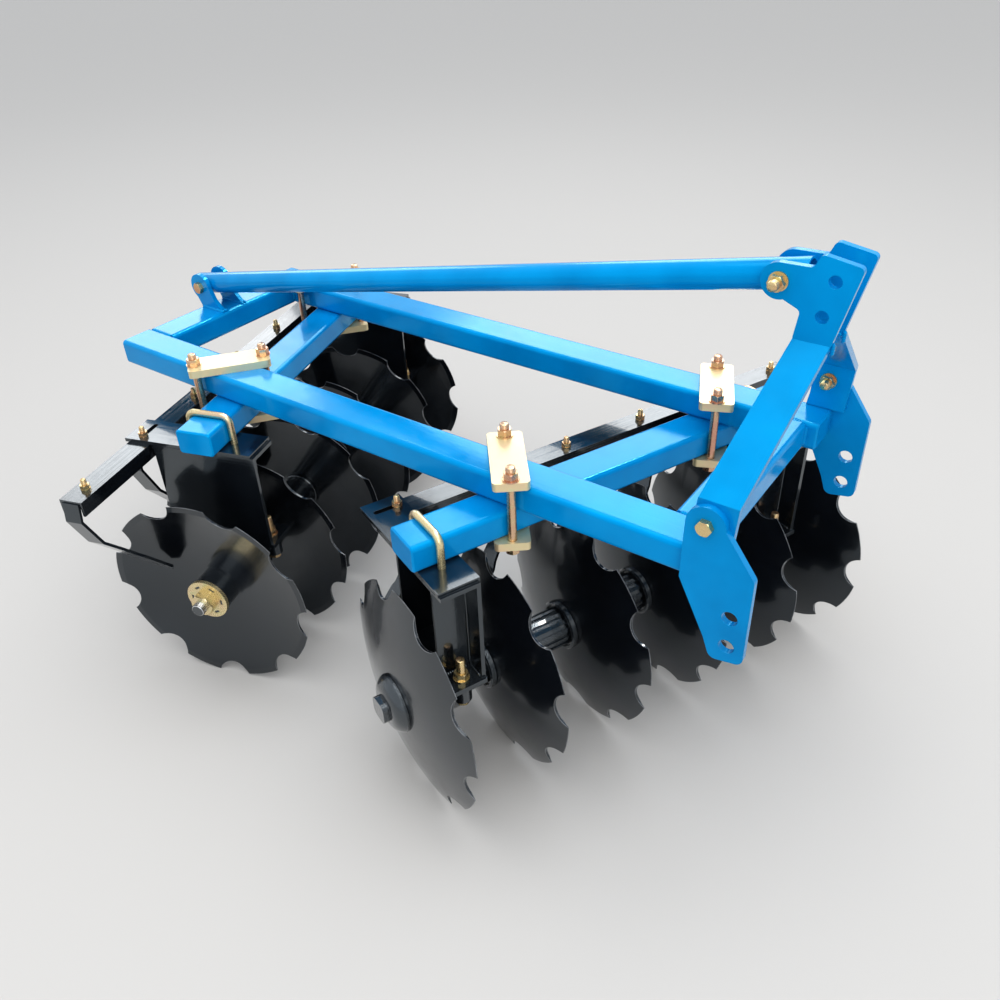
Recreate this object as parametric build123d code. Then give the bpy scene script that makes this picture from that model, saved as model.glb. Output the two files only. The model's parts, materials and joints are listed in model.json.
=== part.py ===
from build123d import *
from collections import namedtuple
from math import atan2, cos, degrees, hypot, radians, sin, sqrt
import os

os.makedirs("parts", exist_ok=True)

# Mounted offset disc harrow in millimetres: X forwards to the hitch, Y to the machine's left, Z up.
# The floor is Z = 0, where the lowest rims of the discs stand.

# the frame's place in the part's own axes
front_face_x = 701.0
centreline_y = 4.36

# discs
disc_radius = 230.0
disc_thickness = 5.0
disc_depth = 40.0
disc_flat_radius = 52.0
disc_bevel = 14.0
rim_land = 1.2
disc_spacing = 191.0
discs_per_gang = 6
notch_count = 9
notch_radius = 39.5
notch_centre = disc_radius + 11.0

# axle, spools and bearings
axle_side = 28.0
axle_height = disc_radius
running_gap = 0.3
fit_gap = 0.1
bolt_gap = 0.5
axle_bore = axle_side / sqrt(2) + running_gap
barrel_radius = 37.0
rib_count = 14
rib_width = 8.0
rib_height = 3.5
rib_root = 1.0
seat_radius = 47.0
seat_width = 9.0
bell_radius = 52.0
bell_width = 13.0
bell_web = 6.0
bell_lip = 7.0
bell_edge = 2.5
spool_edge = 1.5
journal_radius = 30.0
bearing_radius = 58.0
bearing_length = 56.0
journal_length = bearing_length + 8.0
dome_radius = 58.0
dome_rim = 5.0
dome_height = 24.0
dome_top_radius = 30.0
axle_head_side = 45.0
axle_head_height = 12.0
axle_head_corner = 13.0
end_spool_length = 41.0
end_spool_radius = 44.0
end_washer_radius = 47.0
end_washer_thickness = 8.0
washer_slot_count = 6
washer_slot_at = 34.0
washer_slot_long = 13.0
washer_slot_wide = 5.0
washer_slot_deep = 3.0
end_nut_across = 46.0
end_nut_height = 22.0
axle_stub = 16.0

# frame tubes
tube_width = 80.0
tube_height = 55.0
tube_corner = 9.0
end_bevel = 3.0
rail_length = 1408.0
rail_over_axle = 421.0
rail_top = axle_height + rail_over_axle
rail_bottom = rail_top - tube_height
front_overhang = 22.0

# gang beams and clamps
beam_height = 54.0
beam_top = rail_bottom
beam_bottom = beam_top - beam_height
clamp_bolt_out = 31.0
clamp_end = 13.0
clamp_span = tube_width + 2 * clamp_bolt_out
clamp_length = clamp_span + 2 * clamp_end
clamp_width = 64.0
clamp_thickness = 16.0
clamp_corner = 8.0
clamp_bolt_radius = 8.0
clamp_stub = 10.0
clamp_room = tube_width / 2 + 70.0

# hangers
hanger_width = 76.0
hanger_front = 110.0
hanger_rear = 126.0
hanger_plate = 8.0
hanger_flange = 10.0
hanger_top = beam_bottom
hanger_foot = axle_height + 76.0
foot_overhang = 5.0
end_plate_n = 61.0
end_plate_thickness = 6.0
end_plate_out = 32.0
carrier_width = 80.0
carrier_front = 105.0
carrier_rear = 190.0
bearing_bolt_n = 88.0
bearing_bolt_radius = 8.0
bearing_stub = 30.0
boss_radius = 17.0
boss_height = 40.0
u_bolt_radius = 7.0
u_bolt_stub = 12.0
u_bolt_n = tube_width / 2 + u_bolt_radius + bolt_gap

# scraper bars and scrapers
bar_width = 50.0
bar_height = 32.0
bar_wall = 5.0
bar_n = -157.0
bar_top = hanger_top - hanger_plate
bar_inside = bar_top - bar_wall
scraper_reach = 116.0
scraper_width = 36.0
scraper_thickness = 6.0
scraper_gap = 0.2
scraper_bolt_radius = 5.0
scraper_stub = 12.0
slot_half = 22.0

# hitch and mast
plate_thickness = 12.0
strap_thickness = 12.0
lug_thickness = 10.0
pipe_radius = 24.0
pipe_wall = 4.0
pipe_over = 38.0
mast_inner = pipe_radius + 1.0
lower_hole_radius = 13.0
top_hole_radius = 10.0
link_bolt_radius = 8.0
link_stub = 12.0

# One row for each gang. cross_x: place of the axle's middle behind the frame's front face. angle: turn
# of the axle from straight across. side: the way the discs bulge, -1 to the right. shift: middle of the
# discs' flats along the axle. hangers: places in the first and the fifth disc space, as shares of it.
# beam_leads and bar_leads: how far beam and scraper bar run past the outermost piece they carry.
# clamps: heading of each clamp from straight across, and its shift along X and Y. phases: where each
# disc sits on the square axle, as the angle of one lobe's middle.
Gang = namedtuple("Gang", "name cross_x angle side shift hangers beam_leads bar_leads clamps phases")
gangs = [
    Gang("front", -275.7, 22.66, -1, -36.0, (0.5, 0.542), (49.0, 69.0), (22.0, 42.0),
         ((39.0, -12.0, 4.0), (24.0, -8.0, -12.0)), (10, 30, 10, 30, 0, 20)),
    Gang("rear", -rail_length + 251.0, -17.98, 1, 31.0, (0.505, 0.589), (64.0, 46.0), (46.0, 5.0),
         ((38.0, -10.0, 3.0), (38.0, -9.0, -2.0)), (12, 32, 12, 32, 32, 22)),
]


def flats(gang):
    # places of the discs' bulging flat faces along the axle
    first = gang.shift - disc_spacing * (discs_per_gang - 1) / 2
    return [first + k * disc_spacing for k in range(discs_per_gang)]


def hanger_places(gang):
    # one hanger in the first disc space, one in the last
    places = flats(gang)
    return [places[0] + gang.hangers[0] * disc_spacing, places[-2] + gang.hangers[1] * disc_spacing]


def scraper_seats(gang):
    # where each scraper's bolt stands along its bar; over a carrier plate it stands in the plate's slot
    seats = []
    for flat in flats(gang):
        seat = flat - gang.side * scraper_reach
        for u in hanger_places(gang):
            if abs(seat - u) < carrier_width / 2 + 12:
                seat = min(max(seat, u - slot_half), u + slot_half)
        seats.append(seat)
    return seats


# the rails stand as far out as the front gang's left hanger leaves room for a clamp
rail_middle = (hanger_places(gangs[0])[1] - clamp_room) * cos(radians(gangs[0].angle))
half_width = rail_middle + tube_width / 2
rail_inner = rail_middle - tube_width / 2


def save(shapes, name):
    solids = [s for shape in shapes for s in shape.solids()]
    body = solids[0] if len(solids) == 1 else Compound(children=solids)
    export_step(body, f"parts/{name}.step")


def at_frame(shape):
    return Pos(front_face_x, centreline_y, 0) * shape


def at_gang(gang, shape):
    # local X is the gang's forward normal n, local Y runs along the axle to the machine's left
    return Pos(front_face_x + gang.cross_x, centreline_y, 0) * Rot(0, 0, -gang.angle) * shape


def block(x0, x1, y0, y1, z0, z1):
    return Pos((x0 + x1) / 2, (y0 + y1) / 2, (z0 + z1) / 2) * Box(x1 - x0, y1 - y0, z1 - z0)


def tube(x0, x1, y0, y1, z0, z1, axis):
    # closed box tube with rolled corners and its end plates' edges bevelled
    shape = block(x0, x1, y0, y1, z0, z1)
    shape = fillet(shape.edges().filter_by(axis), tube_corner)
    ends = shape.faces().filter_by(axis)
    return chamfer([e for face in ends for e in face.edges()], end_bevel)


def rod_y(x, y0, y1, z, radius):
    return Pos(x, (y0 + y1) / 2, z) * Rot(90, 0, 0) * Cylinder(radius, abs(y1 - y0))


def rod_z(x, y, z0, z1, radius):
    return Pos(x, y, (z0 + z1) / 2) * Cylinder(radius, abs(z1 - z0))


def across_flats(radius):
    return 2.2 * radius + 6.0


def hexagon(across, height):
    # hexagon on the XY plane whose corners are turned down to a bevel at the top
    prism = extrude(RegularPolygon(across / 2, 6, major_radius=False), height)
    round_bar = Pos(0, 0, height / 2) * Cylinder(across * 0.565, height)
    return prism & chamfer(round_bar.edges().sort_by(Axis.Z)[-1], across * 0.05)


def bolt(radius, grip, stub):
    # along Z: head under Z = 0, then the grip, a washer, a nut and the thread's bare end
    head = 1.25 * radius
    washer = 0.3 * radius
    nut = 1.6 * radius
    across = across_flats(radius)
    end = grip + washer + nut + stub
    shape = Pos(0, 0, end / 2) * Cylinder(radius, end)
    shape = chamfer(shape.edges().sort_by(Axis.Z)[-1], radius * 0.2)
    shape += Rot(180, 0, 0) * hexagon(across, head)
    shape += Pos(0, 0, grip + washer / 2) * Cylinder(1.9 * radius, washer)
    shape += Pos(0, 0, grip + washer) * hexagon(across, nut)
    return shape


def upright_plate(face, y0, y1):
    # a flat plate across Y from a face drawn with (x, z) as its own two axes
    return Pos(0, y1, 0) * Rot(90, 0, 0) * extrude(face, y1 - y0)


def outline(points, corners=(), corner=0.0):
    # face of an outline, with the corners of the listed numbers rounded
    face = make_face(Polyline(points, close=True))
    if corners:
        wanted = [points[i] for i in corners]
        picked = [v for v in face.vertices() if any(hypot(v.X - x, v.Y - z) < 0.5 for x, z in wanted)]
        face = fillet(picked, corner)
    return face


# main frame
for side, name in ((-1, "right"), (1, "left")):
    y0, y1 = sorted((side * half_width, side * rail_inner))
    rail = tube(-rail_length, front_overhang, y0, y1, rail_bottom, rail_top, Axis.X)
    save([at_frame(rail)], f"{name}_rail")

for x_front, name in ((0.0, "front"), (-rail_length + tube_width, "rear")):
    cross = block(x_front - tube_width, x_front, -rail_inner, rail_inner, rail_bottom, rail_top)
    cross = fillet(cross.edges().filter_by(Axis.Y), tube_corner)
    save([at_frame(cross)], f"{name}_cross_tube")

# hitch plates on the rails' outer sides, with an ear for the strap's bolt
ear_x = 7.0
ear_z = rail_top + 58.0
ear_radius = 32.0
lower_holes = ((62.0, rail_top - 95.0), (63.0, rail_top - 152.0))
plate_outline = [(-26, rail_top - 50), (-26, rail_top + 6), (ear_x - ear_radius, ear_z),
                 (ear_x + ear_radius, ear_z), (91, rail_top - 12), (92, rail_top - 178),
                 (38, rail_top - 188), (24, rail_top - 150)]
plate_corner = 14.0
plate_face = outline(plate_outline, (4, 5, 6), plate_corner)
plate_face += Pos(ear_x, ear_z) * Circle(ear_radius)
plate_face -= Pos(ear_x, ear_z) * Circle(link_bolt_radius + bolt_gap)
for x, z in lower_holes:
    plate_face -= Pos(x, z) * Circle(lower_hole_radius)
for side, name in ((-1, "right"), (1, "left")):
    y0, y1 = sorted((side * half_width, side * (half_width + plate_thickness)))
    save([at_frame(upright_plate(plate_face, y0, y1))], f"{name}_hitch_plate")

# mast: two straps, upright at the head and the foot, leaning in between
mast_ear = (-19.0, rail_top + 342.0)
mast_ear_radius = 28.0
top_holes = ((61.5, rail_top + 356.0), (51.5, rail_top + 301.0))
foot_edges = (-26.0, 44.0)
foot_bend = (-14.0, 50.0, rail_top + 92.0)
head_bend = (14.0, 71.0, rail_top + 256.0)
head_corner = 8.0
head_outline = [(14, rail_top + 261), (19, rail_top + 304), (-9, rail_top + 316), (mast_ear[0], mast_ear[1]),
                (mast_ear[0], mast_ear[1] + mast_ear_radius), (28, rail_top + 371), (37, rail_top + 392),
                (99, rail_top + 382), (71, rail_top + 255)]
head_face = outline(head_outline, (1, 5, 6, 7), head_corner)
head_face += Pos(*mast_ear) * Circle(mast_ear_radius)
head_face -= Pos(*mast_ear) * Circle(link_bolt_radius + bolt_gap)
for x, z in top_holes:
    head_face -= Pos(x, z) * Circle(top_hole_radius)


def strap(side):
    # a flat bar bent twice: sections of (rear x, front x, z, middle y, share of the lean in the mitre)
    y_head = mast_inner + strap_thickness / 2
    y_foot = half_width - strap_thickness / 2
    sections = [
        (foot_edges[0], foot_edges[1], rail_top + 1.0, y_foot, 0.0),
        (foot_bend[0], foot_bend[1], foot_bend[2], y_foot, 0.5),
        (head_bend[0], head_bend[1], head_bend[2], y_head, 0.5),
        (head_bend[0] + 1.0, head_bend[1] + 1.0, head_bend[2] + 6.0, y_head, 0.0),
    ]
    lean = atan2(y_foot - y_head, head_bend[2] - foot_bend[2])
    wires = []
    for rear, front, z, y, mitre in sections:
        tilt = lean * mitre
        half = strap_thickness / 2 / cos(tilt)
        dz = half * sin(tilt)
        dy = half * cos(tilt)
        corners = [(rear, side * (y - dy), z - dz), (front, side * (y - dy), z - dz),
                   (front, side * (y + dy), z + dz), (rear, side * (y + dy), z + dz)]
        wires.append(Wire(Polyline(corners, close=True).edges()))
    y0, y1 = sorted((side * mast_inner, side * (mast_inner + strap_thickness)))
    shape = Solid.make_loft(wires, ruled=True) + upright_plate(head_face, y0, y1)
    foot0, foot1 = sorted((side * (half_width - strap_thickness - 1), side * (half_width + 1)))
    return shape - rod_y(ear_x, foot0, foot1, ear_z, link_bolt_radius + bolt_gap)


for side, name in ((-1, "right"), (1, "left")):
    save([at_frame(strap(side))], f"{name}_mast_strap")

# brace pipe from the mast's ears down to two lugs on the rear cross tube
rear_lug = (-rail_length + 8.0, rail_top + 48.0)
lug_radius = 31.0
brace_rise = mast_ear[1] - rear_lug[1]
brace_run = mast_ear[0] - rear_lug[0]
pipe_length = hypot(brace_rise, brace_run) + 2 * pipe_over
pipe = Rot(0, 90, 0) * (Cylinder(pipe_radius, pipe_length) - Cylinder(pipe_radius - pipe_wall, pipe_length + 2))
pipe = Rot(0, -degrees(atan2(brace_rise, brace_run)), 0) * pipe
pipe = Pos((mast_ear[0] + rear_lug[0]) / 2, 0, (mast_ear[1] + rear_lug[1]) / 2) * pipe
for x, z in (mast_ear, rear_lug):
    pipe -= rod_y(x, -2 * pipe_radius, 2 * pipe_radius, z, link_bolt_radius + bolt_gap)
save([at_frame(pipe)], "brace_pipe")

lug_outline = [(-rail_length + 3, rail_top), (rear_lug[0] - lug_radius, rear_lug[1]),
               (rear_lug[0] + lug_radius, rear_lug[1]), (rear_lug[0] + 42, rail_top + 22),
               (rear_lug[0] + 66, rail_top)]
lug_face = outline(lug_outline, (3,), 20.0) + Pos(*rear_lug) * Circle(lug_radius)
lug_face -= Pos(*rear_lug) * Circle(link_bolt_radius + bolt_gap)
lugs = []
for side in (-1, 1):
    y0, y1 = sorted((side * mast_inner, side * (mast_inner + lug_thickness)))
    lugs.append(at_frame(upright_plate(lug_face, y0, y1)))
save(lugs, "brace_lugs")


def cross_bolt(place, y_head, y_nut):
    # a bolt along Y with its head on the y_head face and its nut on the y_nut face
    shape = bolt(link_bolt_radius, abs(y_nut - y_head), link_stub)
    turn = -90 if y_nut > y_head else 90
    return at_frame(Pos(place[0], y_head, place[1]) * Rot(turn, 0, 0) * shape)


ear_out = half_width + plate_thickness
strap_in = half_width - strap_thickness
head_out = mast_inner + strap_thickness
lug_out = mast_inner + lug_thickness
save([cross_bolt((ear_x, ear_z), -ear_out, -strap_in), cross_bolt((ear_x, ear_z), ear_out, strap_in),
      cross_bolt(mast_ear, head_out, -head_out), cross_bolt(rear_lug, -lug_out, lug_out)], "mast_bolts")

# gang beams
for gang in gangs:
    low, high = hanger_places(gang)
    beam = tube(-tube_width / 2, tube_width / 2, low - gang.beam_leads[0], high + gang.beam_leads[1],
                beam_bottom, beam_top, Axis.Y)
    save([at_gang(gang, beam)], f"{gang.name}_gang_beam")

# clamps: an upper and a lower plate across each crossing, with two long bolts in its wide corners
foot_bottom = beam_bottom - clamp_thickness
slab = extrude(RectangleRounded(clamp_length, clamp_width, clamp_corner), clamp_thickness)
for x in (-clamp_span / 2, clamp_span / 2):
    slab -= rod_z(x, 0, -1, clamp_thickness + 1, clamp_bolt_radius + bolt_gap)
clamp_bolt = bolt(clamp_bolt_radius, rail_top + clamp_thickness - foot_bottom, clamp_stub)
for gang in gangs:
    plates = []
    bolts = []
    turn = 1 if gang.angle > 0 else -1
    for side, (heading, shift_x, shift_y) in zip((-1, 1), gang.clamps):
        y = side * rail_middle
        x = gang.cross_x + y * sin(radians(gang.angle)) / cos(radians(gang.angle))
        place = Pos(x + shift_x, y + shift_y, 0) * Rot(0, 0, 90 + turn * heading)
        plates.append(at_frame(Pos(0, 0, rail_top) * place * slab))
        plates.append(at_frame(Pos(0, 0, foot_bottom) * place * slab))
        for end in (-clamp_span / 2, clamp_span / 2):
            bolts.append(at_frame(Pos(0, 0, foot_bottom) * place * Pos(end, 0, 0) * clamp_bolt))
    save(plates, f"{gang.name}_clamp_plates")
    save(bolts, f"{gang.name}_clamp_bolts")


def hanger(gang, u):
    # carrier plate under the beam, then a channel open to the discs' bulging side
    half = hanger_width / 2
    plate_low = hanger_top - hanger_plate
    web0, web1 = sorted((u - gang.side * half, u - gang.side * (half - hanger_plate)))
    side0, side1 = sorted((u - gang.side * half, u + gang.side * end_plate_out))
    shape = block(-carrier_rear, carrier_front, u - carrier_width / 2, u + carrier_width / 2,
                  plate_low, hanger_top)
    shape += block(-hanger_rear, hanger_front, u - half, u + half, plate_low - hanger_plate, plate_low)
    shape += block(-hanger_rear, hanger_front, web0, web1, hanger_foot, plate_low)
    shape += block(-hanger_rear, hanger_front + foot_overhang, u - half, u + half,
                   hanger_foot, hanger_foot + hanger_flange)
    # two upright plates close the channel in front of and behind the U-bolt's nuts
    for n in (-end_plate_n - end_plate_thickness, end_plate_n):
        shape += block(n, n + end_plate_thickness, side0, side1, hanger_foot, plate_low)
    for n in (-u_bolt_n, u_bolt_n):
        shape -= rod_z(n, u, plate_low - hanger_plate - 1, hanger_top + 1, u_bolt_radius + bolt_gap)
    for n in (-bearing_bolt_n, bearing_bolt_n):
        shape -= rod_z(n, u, hanger_foot - 1, hanger_foot + hanger_flange + 1, bearing_bolt_radius + bolt_gap)
    slot = SlotCenterToCenter(2 * slot_half, 2 * (scraper_bolt_radius + bolt_gap), rotation=90)
    return shape - Pos(bar_n, u, plate_low - 1) * extrude(slot, hanger_plate + 2)


# cast bearing housing across the axle: a ring under a bar with a boss at each end
ear_top_n = bearing_bolt_n + boss_radius - 4.0
ear_low_n = ear_top_n - 6.0
ear_drop = 16.0
shoulder_z = axle_height + 26.0
ring_step = 2.0
ring_face_radius = bearing_radius - 8.0
housing_face = Pos(0, axle_height) * Circle(bearing_radius)
housing_face += outline([(-ear_top_n, hanger_foot), (ear_top_n, hanger_foot), (ear_low_n, hanger_foot - ear_drop),
                         (bearing_radius, shoulder_z), (-bearing_radius, shoulder_z),
                         (-ear_low_n, hanger_foot - ear_drop)])
housing = upright_plate(housing_face, -bearing_length / 2 + ring_step, bearing_length / 2 - ring_step)
housing += rod_y(0, -bearing_length / 2, bearing_length / 2, axle_height, ring_face_radius)
for n in (-bearing_bolt_n, bearing_bolt_n):
    housing += rod_z(n, 0, hanger_foot - boss_height, hanger_foot, boss_radius)
    housing -= rod_z(n, 0, hanger_foot - boss_height - 1, hanger_foot + 1, bearing_bolt_radius + bolt_gap)
housing -= rod_y(0, -bearing_length, bearing_length, axle_height, journal_radius + running_gap)
bearing_bolt = bolt(bearing_bolt_radius, boss_height + hanger_flange, bearing_stub)
bearing_bolt = Pos(0, 0, hanger_foot - boss_height) * bearing_bolt


def u_bolt():
    # round bar bent over the beam, with a nut on each leg under the carrier plate
    seat = hanger_top - 2 * hanger_plate
    nut = 1.6 * u_bolt_radius
    low = seat - nut - u_bolt_stub
    top = beam_top + u_bolt_radius + bolt_gap
    path = FilletPolyline((-u_bolt_n, 0, low), (-u_bolt_n, 0, top), (u_bolt_n, 0, top), (u_bolt_n, 0, low),
                          radius=u_bolt_radius + tube_corner + 2 * bolt_gap)
    shape = sweep(Plane(origin=(-u_bolt_n, 0, low), z_dir=(0, 0, 1)) * Circle(u_bolt_radius), path)
    for n in (-u_bolt_n, u_bolt_n):
        shape += Pos(n, 0, seat) * Rot(180, 0, 0) * hexagon(across_flats(u_bolt_radius), nut)
    return shape


def ribbon(points, thickness):
    # a flat bar through (n, u, z, width) points, its width along n and its thickness across the u-z path
    wires = []
    count = len(points)
    for i, (n, u, z, width) in enumerate(points):
        turns = []
        for a, b in ((i - 1, i), (i, i + 1)):
            if a >= 0 and b < count:
                turns.append(atan2(points[b][2] - points[a][2], points[b][1] - points[a][1]))
        mean = sum(turns) / len(turns)
        half = thickness / 2 / cos((turns[-1] - turns[0]) / 2)
        du = -sin(mean) * half
        dz = cos(mean) * half
        corners = [(n - width / 2, u - du, z - dz), (n + width / 2, u - du, z - dz),
                   (n + width / 2, u + du, z + dz), (n - width / 2, u + du, z + dz)]
        wires.append(Wire(Polyline(corners, close=True).edges()))
    return Solid.make_loft(wires, ruled=True)


# scraper arm: from its bolt along the bar, down, over to the knee and out to the blade's top
arm_back = 14.0
arm_along = 46.0
arm_bend = 6.0
arm_down = 44.0
knee_n = -150.0
knee_along = 25.0
knee_z = axle_height + 193.0
blade_top_along = 114.0
blade_top_z = axle_height + 159.0
blade_point_z = axle_height + 49.0
hanger_reach = 6.0
Blade = namedtuple("Blade", "top_n point_n point_along width")
wide_blade = Blade(-128.0, -97.0, 26.0, 50.0)
narrow_blade = Blade(-146.0, -146.0, 32.0, 36.0)
# shares of the blade's length and of its width, from the top to the point
blade_steps = ((0.2, 0.8), (0.3, 1.0), (0.85, 1.0), (1.0, 0.35))


def scraper(gang, flat, seat):
    # arm bolted under the bar's web, ending in a blade inside the disc's hollow; narrow where a hanger is near
    out = -gang.side
    low, high = sorted((seat, flat))
    near = any(low - hanger_reach < u < high + hanger_reach for u in hanger_places(gang))
    blade = narrow_blade if near else wide_blade
    tab_z = bar_inside - scraper_thickness / 2 - scraper_gap
    top_u = flat + out * blade_top_along
    point_u = flat + out * blade.point_along
    path = [(bar_n, seat - out * arm_back, tab_z, scraper_width),
            (bar_n, seat + out * arm_along, tab_z, scraper_width),
            (bar_n, seat + out * (arm_along + arm_bend), bar_top - arm_down, scraper_width),
            (knee_n, seat + out * knee_along, knee_z, scraper_width),
            (blade.top_n, top_u, blade_top_z, scraper_width)]
    for share, wide in blade_steps:
        path.append((blade.top_n + share * (blade.point_n - blade.top_n), top_u + share * (point_u - top_u),
                     blade_top_z + share * (blade_point_z - blade_top_z), wide * blade.width))
    arm = ribbon(path, scraper_thickness)
    return arm - rod_z(bar_n, seat, bar_inside - 10, bar_inside + 1, scraper_bolt_radius + bolt_gap)


for gang in gangs:
    places = hanger_places(gang)
    for u, name in zip(places, ("right", "left")):
        save([at_gang(gang, hanger(gang, u))], f"{gang.name}_{name}_hanger")
        save([at_gang(gang, Pos(0, u, 0) * housing)], f"{gang.name}_{name}_bearing")
    save([at_gang(gang, Pos(0, u, 0) * u_bolt()) for u in places], f"{gang.name}_u_bolts")
    save([at_gang(gang, Pos(n, u, 0) * bearing_bolt) for u in places for n in (-bearing_bolt_n, bearing_bolt_n)],
         f"{gang.name}_bearing_bolts")

# scraper bars, open below, with one scraper for each disc
for gang in gangs:
    places = hanger_places(gang)
    seats = scraper_seats(gang)
    bar_start = min(seats + places) - gang.bar_leads[0]
    bar_end = max(seats + places) + gang.bar_leads[1]
    inner = bar_width / 2 - bar_wall
    bar = block(bar_n - bar_width / 2, bar_n + bar_width / 2, bar_start, bar_end, bar_top - bar_height, bar_top)
    bar -= block(bar_n - inner, bar_n + inner, bar_start - 1, bar_end + 1, bar_top - bar_height - 1, bar_inside)
    arms = []
    bolts = []
    for flat, seat in zip(flats(gang), seats):
        bar -= rod_z(bar_n, seat, bar_inside - 1, bar_top + 1, scraper_bolt_radius + bolt_gap)
        arms.append(at_gang(gang, scraper(gang, flat, seat)))
        over_plate = any(abs(seat - u) < carrier_width / 2 for u in places)
        top = hanger_top if over_plate else bar_top
        under = bar_inside - scraper_thickness - scraper_gap
        bolts.append(at_gang(gang, Pos(bar_n, seat, under) * bolt(scraper_bolt_radius, top - under, scraper_stub)))
    save([at_gang(gang, bar)], f"{gang.name}_scraper_bar")
    save(arms, f"{gang.name}_scrapers")
    save(bolts, f"{gang.name}_scraper_bolts")

# discs: a shallow dish of this sphere
sphere_radius = (disc_radius ** 2 + disc_depth ** 2) / (2 * disc_depth)


def dish(radius):
    # how far the bulging face has curved away from the flat at this radius
    edge = sphere_radius - sqrt(sphere_radius ** 2 - radius ** 2)
    flat = sphere_radius - sqrt(sphere_radius ** 2 - disc_flat_radius ** 2)
    return edge - flat


def disc(side, phase):
    # notched dish about local Y, its bulging flat at y = 0 and its hollow on the side away from the bulge
    inner_end = disc_radius - disc_bevel
    out_middle = (disc_radius + disc_flat_radius) / 2
    in_middle = (inner_end + disc_flat_radius) / 2
    rim = dish(disc_radius)
    in_rim = dish(inner_end) + disc_thickness
    profile = [Line((0, 0), (disc_flat_radius, 0)),
               ThreePointArc((disc_flat_radius, 0), (out_middle, dish(out_middle)), (disc_radius, rim)),
               Line((disc_radius, rim), (disc_radius, rim + rim_land)),
               Line((disc_radius, rim + rim_land), (inner_end, in_rim)),
               ThreePointArc((inner_end, in_rim), (in_middle, dish(in_middle) + disc_thickness),
                             (disc_flat_radius, disc_thickness)),
               Line((disc_flat_radius, disc_thickness), (0, disc_thickness)),
               Line((0, disc_thickness), (0, 0))]
    shape = revolve(make_face(profile), Axis.Y)
    for i in range(notch_count):
        angle = radians(-side * phase + (i + 0.5) * 360 / notch_count)
        x = notch_centre * cos(angle)
        z = notch_centre * sin(angle)
        shape -= rod_y(x, -2 * disc_depth, 2 * disc_depth, z, notch_radius)
    shape -= Box(axle_side + 2 * fit_gap, 4 * disc_depth, axle_side + 2 * fit_gap)
    return Rot(180, 0, 0) * shape if side > 0 else shape


def ring(y0, y1, outer, inner):
    return rod_y(0, y0, y1, 0, outer) - rod_y(0, y0 - 1, y1 + 1, 0, inner)


def seat_end(y, way):
    # plain round flange that grows from y in the given way
    y0, y1 = sorted((y, y + way * seat_width))
    shape = rod_y(0, y0, y1, 0, seat_radius)
    return chamfer(shape.edges().filter_by(GeomType.CIRCLE), spool_edge)


def bell_end(y, way):
    # wide flange with a raised lip towards the barrel, turned from its section
    y_web = y + way * bell_web
    y_lip = y + way * bell_width
    lip_inner = bell_radius - bell_lip
    section = Polyline([(0, y), (bell_radius - spool_edge, y), (bell_radius, y + way * spool_edge),
                        (bell_radius, y_lip - way * bell_edge), (bell_radius - bell_edge, y_lip),
                        (lip_inner + spool_edge, y_lip), (lip_inner, y_lip - way * spool_edge),
                        (lip_inner - spool_edge, y_web), (0, y_web)], close=True)
    return revolve(make_face(section), Axis.Y)


def barrel(y0, y1):
    # round bar with lengthwise ribs
    section = Circle(barrel_radius)
    ribs = PolarLocations(barrel_radius + (rib_height - rib_root) / 2, rib_count)
    section += ribs * Rectangle(rib_height + rib_root, rib_width)
    return Pos(0, y1, 0) * Rot(90, 0, 0) * extrude(section, y1 - y0)


def spool(y0, y1, ends):
    # cast spacer, its low end and high end named in order: bell, seat
    makers = {"bell": bell_end, "seat": seat_end}
    shape = barrel(y0 + 1, y1 - 1) + makers[ends[0]](y0, 1) + makers[ends[1]](y1, -1)
    return shape - rod_y(0, y0 - 1, y1 + 1, 0, axle_bore)


def dome(y, way):
    # domed washer on the bulging end disc, from y outwards
    top = y + way * dome_height
    rim = y + way * dome_rim
    middle = ((dome_radius + dome_top_radius) / 2 + 4, (rim + top) / 2 + way * 3)
    section = [Line((0, y), (dome_radius, y)), Line((dome_radius, y), (dome_radius, rim)),
               ThreePointArc((dome_radius, rim), middle, (dome_top_radius, top)),
               Line((dome_top_radius, top), (0, top)), Line((0, top), (0, y))]
    return revolve(make_face(section), Axis.Y) - rod_y(0, y - 2 * dome_height, y + 2 * dome_height, 0, axle_bore)


def end_washer(y_in, y_out):
    # plain washer with a ring of small slots sunk into its outer face
    shape = ring(*sorted((y_in, y_out)), end_washer_radius, axle_bore)
    for i in range(washer_slot_count):
        slot = Pos(washer_slot_at, y_out, 0) * Box(washer_slot_wide, 2 * washer_slot_deep, washer_slot_long)
        shape -= Rot(0, i * 360 / washer_slot_count, 0) * slot
    return shape


def along_axle(y, way, shape):
    # turn a piece that stands on the XY plane so that it grows from y along the axle
    return Pos(0, y, 0) * Rot(-90 * way, 0, 0) * shape


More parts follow.
